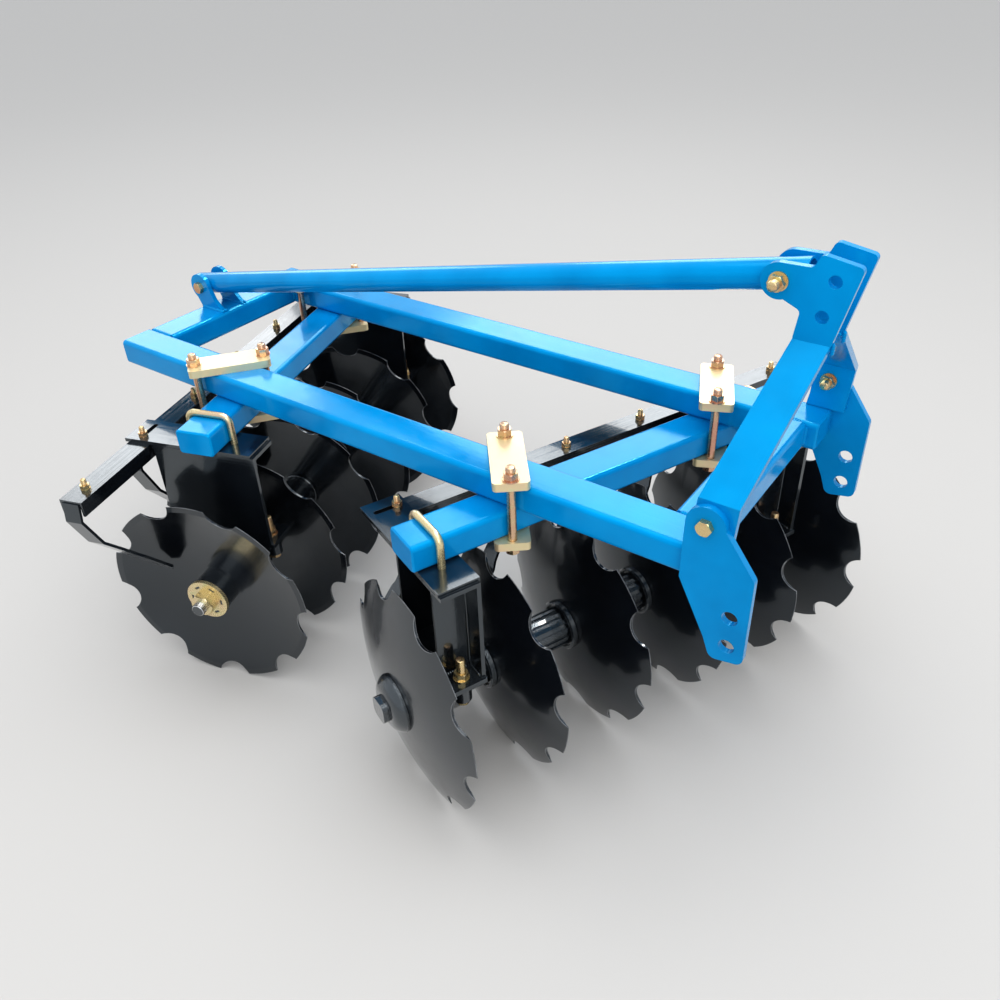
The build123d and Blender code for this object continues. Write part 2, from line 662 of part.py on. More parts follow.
for gang in gangs:
    lift = Pos(0, 0, axle_height)
    step = gang.side
    faces = flats(gang)
    discs = [at_gang(gang, lift * Pos(0, y, 0) * disc(step, phase)) for y, phase in zip(faces, gang.phases)]
    spools = []
    journals = []
    low_end, high_end = ("seat", "bell") if step < 0 else ("bell", "seat")
    for low, high in zip(faces, faces[1:]):
        y0 = low + disc_thickness if step < 0 else low
        y1 = high if step < 0 else high - disc_thickness
        inside = [u for u in hanger_places(gang) if y0 < u < y1]
        if inside:
            half = journal_length / 2
            journals.append(ring(inside[0] - half, inside[0] + half, journal_radius, axle_bore))
            spools.append(spool(y0, inside[0] - half, (low_end, "seat")))
            spools.append(spool(inside[0] + half, y1, ("seat", high_end)))
        else:
            spools.append(spool(y0, y1, (low_end, high_end)))
    bulge_end = faces[0] if step < 0 else faces[-1]
    hollow_end = faces[-1] + disc_thickness if step < 0 else faces[0] - disc_thickness
    # the hollow end carries a short spool, a washer and a nut
    cap_end = hollow_end - step * end_spool_length
    nut_seat = cap_end - step * end_washer_thickness
    nut_end = nut_seat - step * end_nut_height
    spools.append(ring(*sorted((hollow_end, cap_end)), end_spool_radius, axle_bore))
    washer = end_washer(cap_end, nut_seat)
    nut = along_axle(nut_seat, -step, hexagon(end_nut_across, end_nut_height))
    nut -= rod_y(0, nut_seat - 60, nut_seat + 60, 0, axle_side / 2 + fit_gap)
    head_seat = bulge_end + step * dome_height
    square = RectangleRounded(axle_head_side, axle_head_side, axle_head_corner)
    axle = along_axle(head_seat, step, extrude(square, axle_head_height))
    bar0, bar1 = sorted((head_seat, nut_seat))
    axle += block(-axle_side / 2, axle_side / 2, bar0, bar1, -axle_side / 2, axle_side / 2)
    thread = along_axle(nut_seat, -step, Pos(0, 0, (end_nut_height + axle_stub) / 2)
                        * Cylinder(axle_side / 2, end_nut_height + axle_stub))
    tip_edge = thread.edges().filter_by(GeomType.CIRCLE).sort_by(Axis.Y)[0 if step > 0 else -1]
    axle += chamfer(tip_edge, 2.0)
    save(discs, f"{gang.name}_discs")
    save([at_gang(gang, lift * shape) for shape in spools], f"{gang.name}_spools")
    save([at_gang(gang, lift * shape) for shape in journals], f"{gang.name}_journals")
    save([at_gang(gang, lift * axle)], f"{gang.name}_axle")
    save([at_gang(gang, lift * dome(bulge_end, step))], f"{gang.name}_dome_washer")
    save([at_gang(gang, lift * washer)], f"{gang.name}_end_washer")
    save([at_gang(gang, lift * nut)], f"{gang.name}_end_nut")
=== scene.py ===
import json
import math

import bpy
import numpy as np
from mathutils import Matrix


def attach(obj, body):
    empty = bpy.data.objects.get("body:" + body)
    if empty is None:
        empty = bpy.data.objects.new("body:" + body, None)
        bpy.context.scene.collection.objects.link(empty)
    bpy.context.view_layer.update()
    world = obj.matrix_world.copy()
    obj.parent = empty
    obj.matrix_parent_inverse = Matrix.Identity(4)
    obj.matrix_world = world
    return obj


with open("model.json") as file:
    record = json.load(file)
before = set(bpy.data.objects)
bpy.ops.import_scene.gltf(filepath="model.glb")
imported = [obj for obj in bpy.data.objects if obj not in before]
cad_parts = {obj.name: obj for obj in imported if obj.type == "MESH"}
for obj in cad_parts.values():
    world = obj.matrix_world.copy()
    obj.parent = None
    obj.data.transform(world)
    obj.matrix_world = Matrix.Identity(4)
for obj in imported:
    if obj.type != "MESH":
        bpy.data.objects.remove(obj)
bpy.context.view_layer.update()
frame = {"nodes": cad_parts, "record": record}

cadNodes = frame["nodes"]
roundSteps = 24
print("loaded", len(cadNodes), "nodes")


# short calls that add one shader node each

def newMaterial(name):
    mat = bpy.data.materials.new(name)
    mat.use_nodes = True
    mat.node_tree.nodes.clear()
    return mat, mat.node_tree


def addNode(tree, kind, spot, **sockets):
    node = tree.nodes.new(kind)
    node.location = spot
    for key, value in sockets.items():
        node.inputs[key.replace("_", " ")].default_value = value
    return node


noiseRoughness = 0.55


def noiseOf(tree, coords, scale, detail, spot):
    node = addNode(tree, "ShaderNodeTexNoise", spot, Scale=scale, Detail=detail, Roughness=noiseRoughness)
    tree.links.new(coords, node.inputs["Vector"])
    return node.outputs["Fac"]


def stretched(tree, coords, factors, spot):
    node = addNode(tree, "ShaderNodeVectorMath", spot)
    node.operation = "MULTIPLY"
    node.inputs[1].default_value = factors
    tree.links.new(coords, node.inputs[0])
    return node.outputs[0]


def spread(tree, value, low, high, toLow, toHigh, spot):
    node = addNode(tree, "ShaderNodeMapRange", spot)
    node.inputs["From Min"].default_value = low
    node.inputs["From Max"].default_value = high
    node.inputs["To Min"].default_value = toLow
    node.inputs["To Max"].default_value = toHigh
    tree.links.new(value, node.inputs["Value"])
    return node.outputs["Result"]


def times(tree, a, b, spot):
    node = addNode(tree, "ShaderNodeMath", spot)
    node.operation = "MULTIPLY"
    tree.links.new(a, node.inputs[0])
    if isinstance(b, (int, float)):
        node.inputs[1].default_value = b
    else:
        tree.links.new(b, node.inputs[1])
    return node.outputs[0]


def blendColors(tree, factor, first, second, spot):
    node = addNode(tree, "ShaderNodeMix", spot)
    node.data_type = "RGBA"
    tree.links.new(factor, node.inputs["Factor"])
    for socket, value in (("A", first), ("B", second)):
        target = [s for s in node.inputs if s.name == socket and s.type == "RGBA"][0]
        if isinstance(value, tuple):
            target.default_value = value
        else:
            tree.links.new(value, target)
    return [s for s in node.outputs if s.type == "RGBA"][0]


def bumpOf(tree, height, strength, distance, spot, under=None):
    node = addNode(tree, "ShaderNodeBump", spot, Strength=strength, Distance=distance)
    tree.links.new(height, node.inputs["Height"])
    if under is not None:
        tree.links.new(under, node.inputs["Normal"])
    return node.outputs["Normal"]


# up: z of the normal on a wall and on a flat top; edge: cosine of the lean on a flat face and at an edge
leanLook = dict(up=(0.55, 0.98), edge=(0.97, 0.80))


def upFacing(tree, spot):
    # 1 on a face that looks straight up, 0 on a wall
    geometry = addNode(tree, "ShaderNodeNewGeometry", spot)
    split = addNode(tree, "ShaderNodeSeparateXYZ", (spot[0] + 180, spot[1]))
    tree.links.new(geometry.outputs["Normal"], split.inputs["Vector"])
    return spread(tree, split.outputs["Z"], *leanLook["up"], 0.0, 1.0, (spot[0] + 360, spot[1]))


# places of the harrow, in metres

harrow = dict(frontX=0.7010, middleY=0.00436, railTop=0.651, railLength=1.408, tube=0.080, tubeHeight=0.055,
              railOut=0.26518, railIn=0.18518, axleZ=0.230)
gangs = {
    "front": dict(crossX=-0.2757, angle=math.radians(22.66), side=-1, hangers=(-0.4180, 0.3540),
                  firstFlat=-0.5135),
    "rear": dict(crossX=-1.157, angle=math.radians(-17.98), side=1, hangers=(-0.3500, 0.4300),
                 firstFlat=-0.4465),
}
discSpacing = 0.191
discCount = 6


# paints: deep and fresh tint, dust on top, roughness span, clear coat, orange peel, width of the rolled
# edges, tint and strength of the reflection, and the edges' colour and share: wear, partly a painted
# highlight

paintLooks = {
    # bluePaint's lighter blue at the edges is a painted edge highlight
    "bluePaint": dict(deep=(0.0, 0.205, 0.50, 1), fresh=(0.0, 0.300, 0.68, 1), dust=(0.06, 0.36, 0.56, 1),
                      dustShare=0.05, gloss=(0.09, 0.19), coat=0.0, coatGloss=0.05, peel=0.05, edge=0.0012,
                      sheen=(0.03, 0.74, 1.0, 1), level=0.75, bare=(0.04, 0.46, 0.88, 1), worn=0.5),
    "blackPaint": dict(deep=(0.0044, 0.0052, 0.0070, 1), fresh=(0.010, 0.013, 0.017, 1),
                       dust=(0.16, 0.16, 0.16, 1), dustShare=0.04, gloss=(0.10, 0.22), coat=0.9,
                       coatGloss=0.06, peel=0.05, edge=0.0009,
                       sheen=(0.74, 0.90, 1.0, 1), level=0.8, bare=(0.22, 0.23, 0.25, 1), worn=0.5),
    "castPaint": dict(deep=(0.0044, 0.0052, 0.0070, 1), fresh=(0.010, 0.013, 0.017, 1),
                      dust=(0.16, 0.16, 0.16, 1), dustShare=0.03, gloss=(0.07, 0.16), coat=1.0,
                      coatGloss=0.04, peel=0.38, edge=0.0012,
                      sheen=(0.80, 0.92, 1.0, 1), level=1.0, bare=(0.16, 0.17, 0.19, 1), worn=0.5),
    # discPaint's pale edge colour is bare steel on the rims and partly a painted highlight along them
    "discPaint": dict(deep=(0.0045, 0.0055, 0.0075, 1), fresh=(0.009, 0.0115, 0.016, 1),
                      dust=(0.15, 0.15, 0.15, 1), dustShare=0.03, gloss=(0.15, 0.26), coat=0.65,
                      coatGloss=0.08, peel=0.03, edge=0.0020,
                      sheen=(0.80, 0.92, 1.0, 1), level=0.65, bare=(0.60, 0.61, 0.63, 1), worn=1.0),
}
# noises as scale and detail, then the spans of them that shade, settle dust, chip and roughen
paintGrain = dict(drift=(5.5, 3.0), mottle=(30.0, 4.0), peel=(260.0, 2.0), peelDistance=0.002,
                  shade=(0.30, 0.70), patches=(0.42, 0.75), chips=(0.38, 0.58), leastChip=0.25,
                  rough=(0.30, 0.70), bevelSamples=3)
streakLook = dict(along=3.0, across=170.0, detail=4.0, distance=0.0012, tube=0.10, bar=0.75, plate=0.30)


def headedNoise(tree, coords, heading, spot):
    # noise drawn out along a heading, as rolled steel shows through paint
    turn = addNode(tree, "ShaderNodeVectorRotate", spot, Angle=-heading)
    turn.rotation_type = "Z_AXIS"
    tree.links.new(coords, turn.inputs["Vector"])
    factors = (streakLook["along"], streakLook["across"], streakLook["across"])
    drawn = stretched(tree, turn.outputs["Vector"], factors, (spot[0] + 170, spot[1]))
    return noiseOf(tree, drawn, 1.0, streakLook["detail"], (spot[0] + 340, spot[1]))


def edgeOf(tree, rolled, spot):
    # 0 on a flat face, 1 where the rolled normal leans away at an edge
    geometry = addNode(tree, "ShaderNodeNewGeometry", spot)
    dot = addNode(tree, "ShaderNodeVectorMath", (spot[0] + 180, spot[1]))
    dot.operation = "DOT_PRODUCT"
    tree.links.new(rolled, dot.inputs[0])
    tree.links.new(geometry.outputs["Normal"], dot.inputs[1])
    return spread(tree, dot.outputs["Value"], *leanLook["edge"], 0.0, 1.0, (spot[0] + 360, spot[1]))


def sprayedPaint(name, paint, heading=None, streak=0.0):
    # two close tints that drift, a thin film of dust on faces that look up, orange peel, rolled edges
    # and streaks along the heading
    look = paintLooks[paint]
    grain = paintGrain
    mat, tree = newMaterial(name)
    coords = addNode(tree, "ShaderNodeTexCoord", (-1500, 0)).outputs["Object"]
    drift = noiseOf(tree, coords, *grain["drift"], (-1200, 300))
    mottle = noiseOf(tree, coords, *grain["mottle"], (-1200, 60))
    peel = noiseOf(tree, coords, *grain["peel"], (-1200, -200))
    rolled = addNode(tree, "ShaderNodeBevel", (-950, -420), Radius=look["edge"])
    rolled.samples = grain["bevelSamples"]
    rolled = rolled.outputs["Normal"]

    shade = spread(tree, drift, *grain["shade"], 0.0, 1.0, (-950, 300))
    body = blendColors(tree, shade, look["deep"], look["fresh"], (-700, 300))
    patches = spread(tree, mottle, *grain["patches"], 0.0, 1.0, (-950, 60))
    settled = times(tree, upFacing(tree, (-1300, 620)), patches, (-700, 560))
    settled = times(tree, settled, look["dustShare"], (-520, 560))
    color = blendColors(tree, settled, body, look["dust"], (-340, 300))
    # edge wear and painted edge highlight: worn patches of the edges blend to the lighter edge colour
    chips = spread(tree, mottle, *grain["chips"], grain["leastChip"], 1.0, (-950, 900))
    wornAndHighlitEdges = times(tree, edgeOf(tree, rolled, (-1500, 1000)), chips, (-700, 900))
    wornAndHighlitEdges = times(tree, wornAndHighlitEdges, look["worn"], (-520, 800))
    color = blendColors(tree, wornAndHighlitEdges, color, look["bare"], (-160, 400))

    roughness = spread(tree, mottle, *grain["rough"], *look["gloss"], (-700, -60))
    normal = bumpOf(tree, peel, look["peel"], grain["peelDistance"], (-700, -300), rolled)
    if heading is not None:
        streaks = headedNoise(tree, coords, heading, (-1300, -700))
        normal = bumpOf(tree, streaks, streak, streakLook["distance"], (-460, -300), normal)

    shader = addNode(tree, "ShaderNodeBsdfPrincipled", (100, 0))
    shader.inputs["Coat Weight"].default_value = look["coat"]
    shader.inputs["Coat Roughness"].default_value = look["coatGloss"]
    shader.inputs["Specular Tint"].default_value = look["sheen"]
    shader.inputs["Specular IOR Level"].default_value = look["level"]
    shader.inputs["IOR"].default_value = 1.5
    tree.links.new(color, shader.inputs["Base Color"])
    tree.links.new(roughness, shader.inputs["Roughness"])
    tree.links.new(normal, shader.inputs["Normal"])
    out = addNode(tree, "ShaderNodeOutputMaterial", (420, 0))
    tree.links.new(shader.outputs["BSDF"], out.inputs["Surface"])
    return mat


# platings: main tint, two tints it drifts to, roughness span and how metallic it looks

platingLooks = {
    "yellowZinc": dict(main=(0.70, 0.55, 0.30, 1), warm=(0.62, 0.36, 0.22, 1), cool=(0.50, 0.56, 0.30, 1),
                       gloss=(0.18, 0.34), metal=0.9),
    "roseZinc": dict(main=(0.70, 0.48, 0.32, 1), warm=(0.62, 0.35, 0.26, 1), cool=(0.64, 0.60, 0.34, 1),
                     gloss=(0.18, 0.32), metal=0.9),
    "goldZinc": dict(main=(0.76, 0.64, 0.38, 1), warm=(0.74, 0.54, 0.38, 1), cool=(0.58, 0.62, 0.36, 1),
                     gloss=(0.20, 0.34), metal=0.85),
    # the clamp plates' cream zinc: the plating's own tint, made paler and less metallic as a painted
    # reflection of the bright sky on their tops
    "creamZinc": dict(main=(0.76, 0.65, 0.40, 1), warm=(0.78, 0.60, 0.40, 1), cool=(0.66, 0.67, 0.42, 1),
                      gloss=(0.30, 0.46), metal=0.6),
    "bareSteel": dict(main=(0.62, 0.61, 0.60, 1), warm=(0.52, 0.50, 0.48, 1), cool=(0.56, 0.60, 0.64, 1),
                      gloss=(0.16, 0.30), metal=1.0),
}
platingGrain = dict(broad=(16.0, 2.0), narrow=(48.0, 3.0), fine=(520.0, 3.0), warm=(0.44, 0.66),
                    cool=(0.56, 0.74), mostCool=0.8, rough=(0.30, 0.70), bump=0.08, distance=0.0008)


def platedMetal(name):
    # a tint that drifts to a warmer and a cooler one, with a fine grain
    look = platingLooks[name]
    grain = platingGrain
    mat, tree = newMaterial(name)
    coords = addNode(tree, "ShaderNodeTexCoord", (-1500, 0)).outputs["Object"]
    broad = noiseOf(tree, coords, *grain["broad"], (-1200, 300))
    narrow = noiseOf(tree, coords, *grain["narrow"], (-1200, 60))
    fine = noiseOf(tree, coords, *grain["fine"], (-1200, -200))
    warmth = spread(tree, broad, *grain["warm"], 0.0, 1.0, (-950, 300))
    warm = blendColors(tree, warmth, look["main"], look["warm"], (-700, 300))
    cool = spread(tree, narrow, *grain["cool"], 0.0, grain["mostCool"], (-950, 60))
    color = blendColors(tree, cool, warm, look["cool"], (-460, 300))
    roughness = spread(tree, fine, *grain["rough"], *look["gloss"], (-700, -60))
    normal = bumpOf(tree, fine, grain["bump"], grain["distance"], (-700, -300))
    shader = addNode(tree, "ShaderNodeBsdfPrincipled", (-100, 0))
    shader.inputs["Metallic"].default_value = look["metal"]
    tree.links.new(color, shader.inputs["Base Color"])
    tree.links.new(roughness, shader.inputs["Roughness"])
    tree.links.new(normal, shader.inputs["Normal"])
    out = addNode(tree, "ShaderNodeOutputMaterial", (220, 0))
    tree.links.new(shader.outputs["BSDF"], out.inputs["Surface"])
    return mat


finishes = {name: sprayedPaint(name, name) for name in paintLooks}
finishes.update({name: platedMetal(name) for name in platingLooks})


def streakedPaint(name, paint, heading, streak):
    finishes[name] = sprayedPaint(name, paint, heading, streak)


streakedPaint("railPaint", "bluePaint", 0.0, streakLook["tube"])
streakedPaint("crossPaint", "bluePaint", math.pi / 2, streakLook["tube"])
for gang, look in gangs.items():
    along = math.pi / 2 - look["angle"]
    streakedPaint(gang + "BeamPaint", "bluePaint", along, streakLook["tube"])
    streakedPaint(gang + "BarPaint", "blackPaint", along, streakLook["bar"])
    streakedPaint(gang + "PlatePaint", "blackPaint", -look["angle"], streakLook["plate"])

# which finish a node takes: by the end of its name, or else by its slot in the record
slotFinish = {"blue_paint": "bluePaint", "black_paint": "blackPaint", "disc_steel": "discPaint",
              "yellow_zinc": "yellowZinc"}
endFinish = {"_rail": "railPaint", "_cross_tube": "crossPaint", "_clamp_plates": "creamZinc",
             "_clamp_bolts": "roseZinc", "_u_bolts": "goldZinc", "_end_washer": "goldZinc",
             "_end_nut": "goldZinc", "_spools": "castPaint", "_journals": "castPaint",
             "_bearing": "castPaint", "_dome_washer": "castPaint", "_axle": "castPaint"}
gangFinish = {"_gang_beam": "BeamPaint", "_scraper_bar": "BarPaint", "_hanger": "PlatePaint"}


def finishOf(node, slot):
    for end, name in endFinish.items():
        if node.endswith(end):
            return finishes[name]
    for end, name in gangFinish.items():
        if node.endswith(end):
            return finishes[node.split("_")[0] + name]
    return finishes[slotFinish[slot]]


for row in frame["record"]["subparts"]:
    node = cadNodes[row["node"]]
    node.data.materials.clear()
    node.data.materials.append(finishOf(row["node"], row["material_slot"]))
print("finishes given")


def onFrame(points):
    # frame's own x, y, z to the part's axes
    return np.asarray(points, float) + np.array([harrow["frontX"], harrow["middleY"], 0.0])


def onGang(gang, points):
    # n forwards across the axle, u along it to the left, z up:
    # x = crossX + n cos(a) + u sin(a), y = -n sin(a) + u cos(a)
    look = gangs[gang]
    n, u, z = np.moveaxis(np.asarray(points, float), -1, 0)
    c, s = math.cos(look["angle"]), math.sin(look["angle"])
    return onFrame(np.stack([look["crossX"] + n * c + u * s, -n * s + u * c, z], axis=-1))


def addSurface(name, grids, finish, body):
    # closed lathe-like grids (rows, around, 3) whose first and last rows are single points repeated
    verts = []
    faces = []
    start = 0
    for grid in grids:
        rows, around = grid.shape[:2]
        middle = grid[1:-1].reshape(-1, 3)
        verts.append(np.vstack([grid[0, :1], middle, grid[-1, :1]]))
        first = start + 1
        index = first + np.arange((rows - 2) * around).reshape(rows - 2, around)
        beside = np.roll(index, -1, axis=1)
        quads = np.stack([index[:-1], beside[:-1], beside[1:], index[1:]], axis=-1).reshape(-1, 4)
        last = first + (rows - 2) * around
        faces += quads.tolist()
        faces += [[start, b, a] for a, b in zip(index[0], beside[0])]
        faces += [[last, a, b] for a, b in zip(index[-1], beside[-1])]
        start = last + 1
    mesh = bpy.data.meshes.new(name)
    mesh.from_pydata(np.vstack(verts).tolist(), [], faces)
    mesh.materials.append(finishes[finish])
    mesh.polygons.foreach_set("use_smooth", np.ones(len(mesh.polygons), bool))
    mesh.update()
    piece = bpy.data.objects.new(name, mesh)
    bpy.context.scene.collection.objects.link(piece)
    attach(piece, body)
    return piece


def crossVectors(direction):
    # two unit vectors across a direction
    d = np.asarray(direction, float)
    d = d / np.linalg.norm(d)
    helper = np.array([0.0, 0.0, 1.0]) if abs(d[2]) < 0.9 else np.array([1.0, 0.0, 0.0])
    a = np.cross(helper, d)
    a = a / np.linalg.norm(a)
    return d, a, np.cross(d, a)


# threads on the bare ends of the bolts; nut and washer are heights as shares of the bolt's radius

threadLook = dict(depth=0.0006, rootLift=0.00008, rowsPerTurn=8, chamfer=0.0012, cover=0.0003,
                  sunk=0.0004, nut=1.6, washer=0.3)


def threadedEnd(base, direction, radius, length, pitch):
    # r(s, t) = root + depth * (1 - |2 frac(s / pitch - t / 2 pi) - 1|), faded to the root at both ends
    d, a, b = crossVectors(direction)
    rows = int(length / pitch * threadLook["rowsPerTurn"])
    s = np.linspace(0.0, length, rows)[:, None]
    t = np.linspace(0.0, 2 * math.pi, roundSteps, endpoint=False)[None, :]
    wave = 1 - np.abs(2 * np.mod(s / pitch - t / (2 * math.pi), 1.0) - 1)
    fade = np.clip(np.minimum(s, length - s) / pitch, 0.0, 1.0)
    r = radius + threadLook["rootLift"] + threadLook["depth"] * wave * fade
    s = np.broadcast_to(s, r.shape)
    cut = threadLook["chamfer"]
    endS = length + np.array([cut, cut + threadLook["cover"]])[:, None] + np.zeros_like(t)
    endR = np.array([radius - cut, 0.0])[:, None] + np.zeros_like(t)
    s = np.vstack([np.zeros_like(t), s, endS])
    r = np.vstack([np.zeros_like(t), r, endR])
    t = np.broadcast_to(t, r.shape)
    ring = a * np.cos(t)[..., None] + b * np.sin(t)[..., None]
    return np.asarray(base, float) + d * s[..., None] + ring * r[..., None]


def boltEnd(nutSeat, direction, radius, stub, pitch, washer=True):
    # the thread starts just under the nut's outer face
    rise = (threadLook["nut"] + (threadLook["washer"] if washer else 0.0)) * radius
    d = np.asarray(direction, float)
    base = np.asarray(nutSeat, float) + d * (rise - threadLook["sunk"])
    return threadedEnd(base, d, radius, stub + threadLook["sunk"] - threadLook["chamfer"], pitch)


up = np.array([0.0, 0.0, 1.0])
left = np.array([0.0, 1.0, 0.0])
mastLook = dict(ear=(0.007, 0.709), top=(-0.019, 0.993), lug=(-1.400, 0.699), strapIn=0.25318,
                headOut=0.037, lugOut=0.035, radius=0.008, stub=0.012, pitch=0.002)


def mastThreads():
    m = mastLook
    places = [(m["ear"], -m["strapIn"], left), (m["ear"], m["strapIn"], -left),
              (m["top"], -m["headOut"], -left), (m["lug"], m["lugOut"], left)]
    grids = [boltEnd(onFrame([x, y, z]), way, m["radius"], m["stub"], m["pitch"])
             for (x, z), y, way in places]
    addSurface("mastThreads", grids, "yellowZinc", "frame")


# places: heading in degrees and the shifts in x and y of the right clamp, then of the left one
clampLook = dict(span=0.142, thickness=0.016, radius=0.008, stub=0.010, pitch=0.002,
                 places={"front": ((39.0, -0.012, 0.004), (24.0, -0.008, -0.012)),
                         "rear": ((38.0, -0.010, 0.003), (38.0, -0.009, -0.002))})


def clampThreads(gang):
    c = clampLook
    look = gangs[gang]
    turn = 1 if look["angle"] > 0 else -1
    middle = (harrow["railOut"] + harrow["railIn"]) / 2
    grids = []
    for side, (heading, shiftX, shiftY) in zip((-1, 1), c["places"][gang]):
        h = math.radians(heading)
        x = look["crossX"] + side * middle * math.tan(look["angle"]) + shiftX
        y = side * middle + shiftY
        for end in (-0.5, 0.5):
            along = end * c["span"]
            seat = [x - turn * math.sin(h) * along, y + math.cos(h) * along,
                    harrow["railTop"] + c["thickness"]]
            grids.append(boltEnd(onFrame(seat), up, c["radius"], c["stub"], c["pitch"]))
    addSurface(gang + "ClampThreads", grids, "roseZinc", "frame")


hangerLook = dict(footZ=0.306, flange=0.010, boltN=0.088, radius=0.008, stub=0.030, pitch=0.002,
                  uBoltN=0.0475, uSeat=0.526, uRadius=0.007, uStub=0.012)


def hangerThreads(gang):
    h = hangerLook
    grids = []
    for u in gangs[gang]["hangers"]:
        for n in (-h["boltN"], h["boltN"]):
            seat = onGang(gang, [n, u, h["footZ"] + h["flange"]])
            grids.append(boltEnd(seat, up, h["radius"], h["stub"], h["pitch"]))
        for n in (-h["uBoltN"], h["uBoltN"]):
            seat = onGang(gang, [n, u, h["uSeat"]])
            grids.append(boltEnd(seat, -up, h["uRadius"], h["uStub"], h["pitch"], washer=False))
    addSurface(gang + "HangerThreads", grids, "yellowZinc", "frame")


scraperLook = dict(barN=-0.157, barTop=0.534, plateTop=0.542, reach=0.116, slotHalf=0.022, carrier=0.080,
                   clear=0.012, radius=0.005, stub=0.012, pitch=0.0015)


def scraperSeats(gang):
    # one seat behind each disc, drawn into the carrier plate's slot where it comes near one
    look = gangs[gang]
    seats = look["firstFlat"] + discSpacing * np.arange(discCount) - look["side"] * scraperLook["reach"]
    for u in look["hangers"]:
        near = np.abs(seats - u) < scraperLook["carrier"] / 2 + scraperLook["clear"]
        held = np.clip(seats, u - scraperLook["slotHalf"], u + scraperLook["slotHalf"])
        seats = np.where(near, held, seats)
    return seats


def scraperThreads(gang):
    s = scraperLook
    grids = []
    for seat in scraperSeats(gang):
        overPlate = any(abs(seat - u) < s["carrier"] / 2 for u in gangs[gang]["hangers"])
        z = s["plateTop"] if overPlate else s["barTop"]
        grids.append(boltEnd(onGang(gang, [s["barN"], seat, z]), up, s["radius"], s["stub"], s["pitch"]))
    addSurface(gang + "ScraperThreads", grids, "yellowZinc", "frame")


axleLook = dict(radius=0.014, stub=0.016, pitch=0.003, thickness=0.005, endSpool=0.041, washer=0.008,
                nut=0.022)


def hollowFace(gang):
    # place along the axle where the end spool meets the hollow side of the outermost disc
    look = gangs[gang]
    lastFlat = look["firstFlat"] + discSpacing * (discCount - 1)
    if look["side"] < 0:
        return lastFlat + axleLook["thickness"]
    return look["firstFlat"] - axleLook["thickness"]


def axleThread(gang):
    a = axleLook
    side = gangs[gang]["side"]
    u = hollowFace(gang) - side * (a["endSpool"] + a["washer"] + a["nut"])
    ends = onGang(gang, [[0.0, u, harrow["axleZ"]], [0.0, u - side, harrow["axleZ"]]])
    way = ends[1] - ends[0]
    base = ends[0] - way * threadLook["sunk"]
    grid = threadedEnd(base, way, a["radius"], a["stub"] - threadLook["chamfer"], a["pitch"])
    addSurface(gang + "AxleThread", [grid], "bareSteel", gang + "_gang")


slotLook = dict(count=6, at=0.034, wide=0.0046, long=0.0126, sunk=0.0030, depth=0.0021, around=24, power=0.4)


def paintedSlotShade(gang):
    # painted shade in the end washer's slots: a dark flat pad of superellipse outline in each, its point at
    # (|cos t|^power wide / 2, |sin t|^power long / 2) with the signs of cos t and sin t
    p = slotLook
    side = gangs[gang]["side"]
    face = hollowFace(gang) - side * (axleLook["endSpool"] + axleLook["washer"])
    t = np.linspace(0.0, 2 * math.pi, p["around"], endpoint=False)
    across = np.sign(np.cos(t)) * np.abs(np.cos(t)) ** p["power"] * p["wide"] / 2
    along = np.sign(np.sin(t)) * np.abs(np.sin(t)) ** p["power"] * p["long"] / 2
    raised = p["sunk"] - p["depth"]
    grids = []
    for k in range(p["count"]):
        turn = 2 * math.pi * k / p["count"]
        rows = []
        for share, deep in ((0.0, p["sunk"]), (1.0, p["sunk"]), (1.0, raised), (0.0, raised)):
            r = p["at"] + share * across
            w = share * along
            n = r * math.cos(turn) + w * math.sin(turn)
            z = -r * math.sin(turn) + w * math.cos(turn)
            u = np.full_like(t, face + side * deep)
            rows.append(onGang(gang, np.stack([n, u, harrow["axleZ"] + z], axis=-1)))
        grid = np.array(rows)
        grids.append(grid if side > 0 else grid[:, ::-1])
    # the pads are painted shade where the slots' recesses fall dark
    piece = addSurface(gang + "SlotPads", grids, "blackPaint", gang + "_gang")
    piece.data.polygons.foreach_set("use_smooth", np.zeros(len(piece.data.polygons), bool))


mastThreads()
for gang in gangs:
    paintedSlotShade(gang)
    clampThreads(gang)
    hangerThreads(gang)
    scraperThreads(gang)
    axleThread(gang)
print("threads cut")


# weld beads

weldLook = dict(ripple=0.10, pitch=0.0045, rowStep=0.0009, taper=0.006, wander=0.0004, wanderRate=90.0,
                around=12)


def weldBead(start, end, radius):
    # tube of radius R(s) = radius (1 + ripple cos(2 pi s / pitch)) sqrt(1 - (1 - reach)^2), where reach
    # climbs from 0 to 1 over the taper at both ends; its middle wanders by wander sin(wanderRate s)
    start = np.asarray(start, float)
    end = np.asarray(end, float)
    length = np.linalg.norm(end - start)
    d, a, b = crossVectors(end - start)
    w = weldLook
    rows = max(int(length / w["rowStep"]), w["around"])
    s = np.linspace(0.0, length, rows)
    reach = np.clip(np.minimum(s, length - s) / w["taper"], 0.0, 1.0)
    rippled = radius * (1 + w["ripple"] * np.cos(2 * math.pi * s / w["pitch"]))
    r = rippled * np.sqrt(1 - (1 - reach) ** 2)
    t = np.linspace(0.0, 2 * math.pi, w["around"], endpoint=False)
    ring = a * np.cos(t)[:, None] + b * np.sin(t)[:, None]
    middle = start + d * s[:, None] + a * (w["wander"] * np.sin(s * w["wanderRate"]))[:, None]
    return middle[:, None, :] + ring[None] * r[:, None, None]


def mirrored(lines):
    # the same lines on the other side
    return [[(x, -y, z) for x, y, z in line] for line in lines]


frameWeldLook = dict(radius=0.0048, inset=0.008, fromEdge=0.0035, proud=0.001, corner=0.0005,
                     low=0.047, high=0.008)


